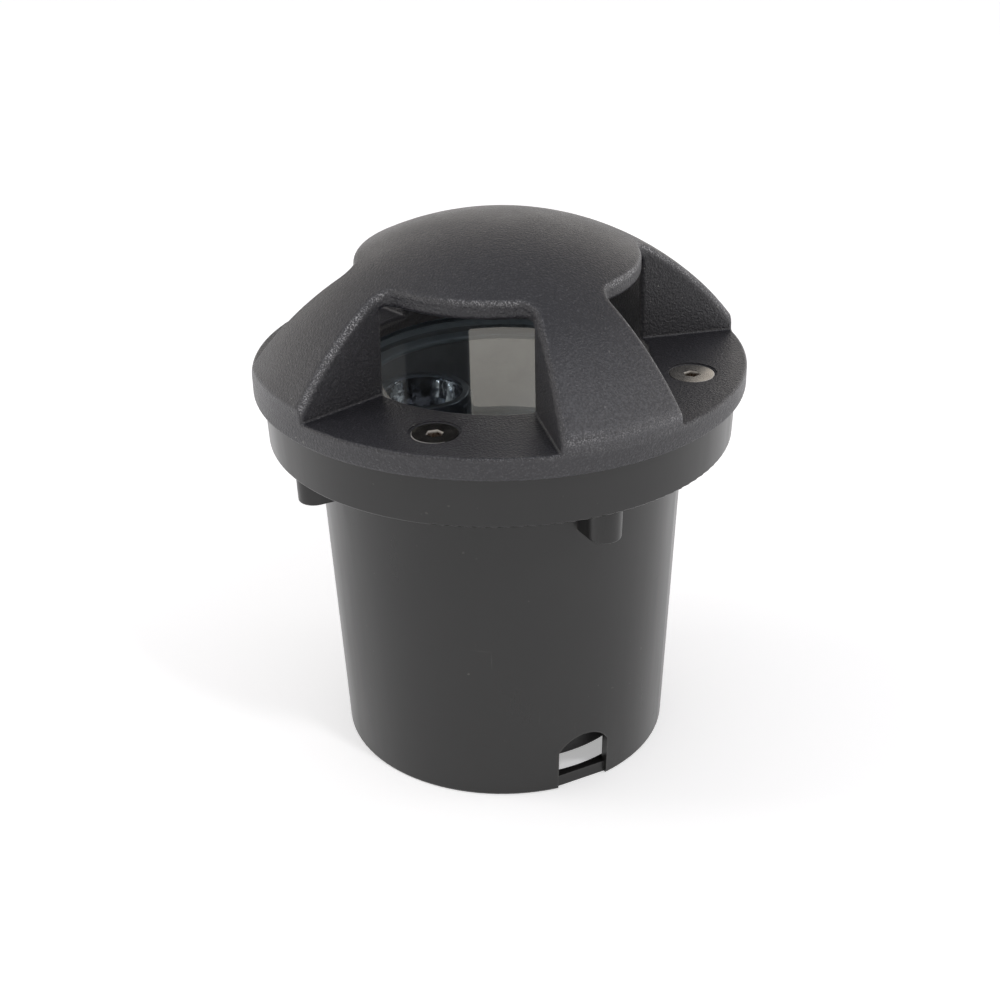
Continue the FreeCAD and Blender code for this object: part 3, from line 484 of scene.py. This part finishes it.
prof = []          # (r, z, normal r, normal z, row position or None)
for i in range(ROWS * SUB + 1):
    (pr, pz), (nr, nz) = arc3((11.2, 101.85), (8.4, 93.6), (3.75, 88.9), i / (ROWS * SUB))
    prof.append((pr, pz, -nr, -nz, i / SUB))
prof += [(3.75, 87.75, 0, 0, None), (5.05, 87.75, 0, 0, None)]
for i in range(1, 13):
    (pr, pz), _ = arc3((5.05, 87.75), (9.35, 92.4), (11.7, 100.3), i / 12)
    prof.append((pr, pz, 0, 0, None))
prof += [(12.2, 100.42), (12.55, 100.5), (12.66, 100.75), (12.66, 102.7), (12.55, 102.93), (12.35, 103.0), (12.1, 102.95), (12.04, 102.8), (12.04, 101.9), (11.6, 101.88)]
prof = [p_ if len(p_) == 5 else (p_[0], p_[1], 0, 0, None) for p_ in prof]
verts, faces = [], []
for (pr, pz, nr, nz, row) in prof:
    for j in range(nj):
        a_ = 2 * math.pi * j / nj
        off = 0.0
        if row is not None:
            fv = row - math.floor(row)
            fu = (j % SUB) / SUB
            bul = (1 - (2 * fu - 1) ** 2) * (1 - (2 * fv - 1) ** 2) if fv > 0 and fu > 0 else 0.0
            off = 0.07 * bul * (0.45 + 0.55 * pr / 11.2)
        verts.append(lamp_pt(pr + nr * off, a_, pz + nz * off))
np_ = len(prof)
for i in range(np_):
    i2 = (i + 1) % np_
    for j in range(nj):
        j2 = (j + 1) % nj
        faces.append((i * nj + j, i * nj + j2, i2 * nj + j2, i2 * nj + j))


def mat_mirror():
    """Dichroic mirror coat: bright and nearly smooth, violet towards grazing light, with reflections painted on as
    two bright streaky sides and a dark middle.
    """
    t = Tree("dichroic_mirror")
    lw = t.add("ShaderNodeLayerWeight")
    lw.inputs["Blend"].default_value = 0.35
    tint = t.ramp(lw.outputs["Facing"], [(0.0, (0.50, 0.52, 0.56)), (0.45, (0.38, 0.35, 0.44)), (0.8, (0.62, 0.60, 0.67))])
    film = t.noise(220.0, 2.0, 0.5)
    base = t.mix(t.rng(film, 0.35, 0.65, 0.0, 0.35), tint, (0.30, 0.28, 0.38))
    rough = t.rng(t.noise(900.0, 2.0, 0.5), 0.3, 0.7, 0.02, 0.06)
    # painted reflection: two sides of the bowl are painted bright with pale streaks and the middle dark, standing in
    # for the windows' reflections
    off = t.add("ShaderNodeVectorMath", operation="SUBTRACT")
    t.link(t.coord.outputs["Object"], off.inputs[0])
    off.inputs[1].default_value = lamp_pt(0.0, 0.0, 0.0)
    dt = t.add("ShaderNodeVectorMath", operation="DOT_PRODUCT")
    t.link(off.outputs["Vector"], dt.inputs[0])
    dt.inputs[1].default_value = turn((1.0, 0.0, 0.0))
    w = dt.outputs["Value"]
    right = t.math("MULTIPLY", t.rng(w, 0.0018, 0.0040, 0.0, 1.0), t.rng(w, 0.0092, 0.0106, 1.0, 0.0), clamp=True)
    left = t.math("MULTIPLY", t.rng(w, -0.0108, -0.0098, 0.0, 1.0), t.rng(w, -0.0072, -0.0058, 1.0, 0.0), clamp=True)
    vec = t.mapping((1.0, 0.30, 0.30), (0.4, 0.7, 0.5))
    streak = t.rng(t.noise(1150.0, 2.0, 0.55, vec=vec), 0.50, 0.60, 0.0, 1.0)
    painted_streaks = t.math("MULTIPLY", streak, t.math("MAXIMUM", t.math("MULTIPLY", right, 0.75), left), clamp=True)
    sides = t.math("MAXIMUM", right, left)
    base = t.mix(sides, t.mix(0.85, base, (0.04, 0.04, 0.055)), t.mix(0.85, base, (0.97, 0.98, 0.99)))
    base = t.mix(painted_streaks, base, (0.95, 0.96, 0.95))
    rough = t.math("ADD", rough, t.math("MULTIPLY", painted_streaks, 0.12))
    t.principled(Base_Color=base, Roughness=rough, Metallic=t.rng(painted_streaks, 0.0, 1.0, 0.95, 0.45))
    return t.mat


bowl = new_piece("lamp_bowl", verts, faces, mat_mirror(), "lamp_head")
for e_ in bowl.data.edges:
    v0, v1 = e_.vertices
    i0, j0, i1, j1 = v0 // nj, v0 % nj, v1 // nj, v1 % nj
    if i0 <= ROWS * SUB and i1 <= ROWS * SUB:
        if (j0 == j1 and j0 % SUB == 0) or (i0 == i1 and i0 % SUB == 0):
            e_.use_edge_sharp = True
    elif i0 == i1 and i0 in (ROWS * SUB + 1, ROWS * SUB + 2):
        e_.use_edge_sharp = True
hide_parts("lamp_reflector")

# ------------------------------------------------------------------ floor and light
bm = bmesh.new()
bmesh.ops.create_grid(bm, x_segments=24, y_segments=24, size=6.0)
me = bpy.data.meshes.new("floor")
bm.to_mesh(me)
bm.free()
floor = bpy.data.objects.new("floor", me)
sc.collection.objects.link(floor)
t = Tree("pale_floor")
base = t.ramp(t.noise(3.0, 3.0, 0.5), [(0.3, (0.93, 0.93, 0.93)), (0.7, (0.95, 0.95, 0.95))])
p_ = t.principled(Base_Color=base, Roughness=0.8)
t.link(base, p_.inputs["Emission Color"])
p_.inputs["Emission Strength"].default_value = 0.40
floor.data.materials.append(t.mat)

world = bpy.data.worlds.new("studio")
sc.world = world
world.use_nodes = True
wt = world.node_tree
wt.nodes.clear()
wo = wt.nodes.new("ShaderNodeOutputWorld")
bg = wt.nodes.new("ShaderNodeBackground")
tc = wt.nodes.new("ShaderNodeTexCoord")
sep = wt.nodes.new("ShaderNodeSeparateXYZ")
wt.links.new(tc.outputs["Generated"], sep.inputs[0])
wr = wt.nodes.new("ShaderNodeValToRGB")
wmap = wt.nodes.new("ShaderNodeMapRange")
wmap.inputs["From Min"].default_value = -0.2
wmap.inputs["From Max"].default_value = 1.0
wt.links.new(sep.outputs["Z"], wmap.inputs["Value"])
SKY = [(-0.2, (1.22, 1.195, 1.165)), (0.02, (1.36, 1.33, 1.29)), (0.17, (1.30, 1.26, 1.215)), (0.31, (0.79, 0.735, 0.675)),
       (0.46, (0.635, 0.585, 0.535)), (0.62, (0.50, 0.505, 0.53)), (1.0, (0.43, 0.44, 0.48))]
e = wr.color_ramp.elements
while len(e) > 1:
    e.remove(e[-1])
for i_, (zz, cc) in enumerate(SKY):
    x = e[0] if i_ == 0 else e.new((zz + 0.2) / 1.2)
    x.position = (zz + 0.2) / 1.2
    x.color = (*cc, 1.0)
wt.links.new(wmap.outputs["Result"], wr.inputs["Fac"])


def wdot(v):
    n = wt.nodes.new("ShaderNodeVectorMath")
    n.operation = "DOT_PRODUCT"
    wt.links.new(tc.outputs["Generated"], n.inputs[0])
    n.inputs[1].default_value = v
    return n.outputs["Value"]


# the side behind the photographer is darker than the sides and the backdrop
wf = wt.nodes.new("ShaderNodeMapRange")
wf.interpolation_type = "SMOOTHSTEP"
wf.inputs["From Min"].default_value = 0.15
wf.inputs["From Max"].default_value = 1.0
wf.inputs["To Min"].default_value = 1.0
wf.inputs["To Max"].default_value = 0.86
wt.links.new(wdot(turn((0.0, -1.0, 0.0))), wf.inputs["Value"])
wm = wt.nodes.new("ShaderNodeVectorMath")
wm.operation = "SCALE"
wt.links.new(wr.outputs["Color"], wm.inputs[0])
wt.links.new(wf.outputs["Result"], wm.inputs["Scale"])
wt.links.new(wm.outputs["Vector"], bg.inputs["Color"])
bg.inputs["Strength"].default_value = 1.05
wt.links.new(bg.outputs["Background"], wo.inputs["Surface"])


def area(name, d, size, power, color=(1, 1, 1), dist=1.6, size_y=None):
    """A soft box in direction d (camera's frame: x right, -y towards the camera, z up)."""
    ld = bpy.data.lights.new(name, "AREA")
    ld.shape = "RECTANGLE"
    ld.size = size
    ld.size_y = size_y or size
    ld.energy = power
    ld.color = color
    o = bpy.data.objects.new(name, ld)
    sc.collection.objects.link(o)
    v = turn(d).normalized()
    o.location = Vector((0, 0, 0.11)) + v * dist
    o.rotation_euler = v.to_track_quat("Z", "Y").to_euler()
    return o


area("key_front", (0.42, -0.49, 0.76), 0.17, 4.6, (0.98, 0.985, 1.0), size_y=0.17)
area("top_left", (-0.55, -0.02, 0.84), 0.50, 3.0, (1.0, 0.99, 0.97))
area("side_left", (-0.94, 0.12, 0.30), 0.42, 2.2, (1.0, 0.99, 0.98), size_y=0.30)
area("side_right", (0.95, 0.05, 0.30), 0.42, 1.5, (1.0, 0.99, 0.98), size_y=0.30)
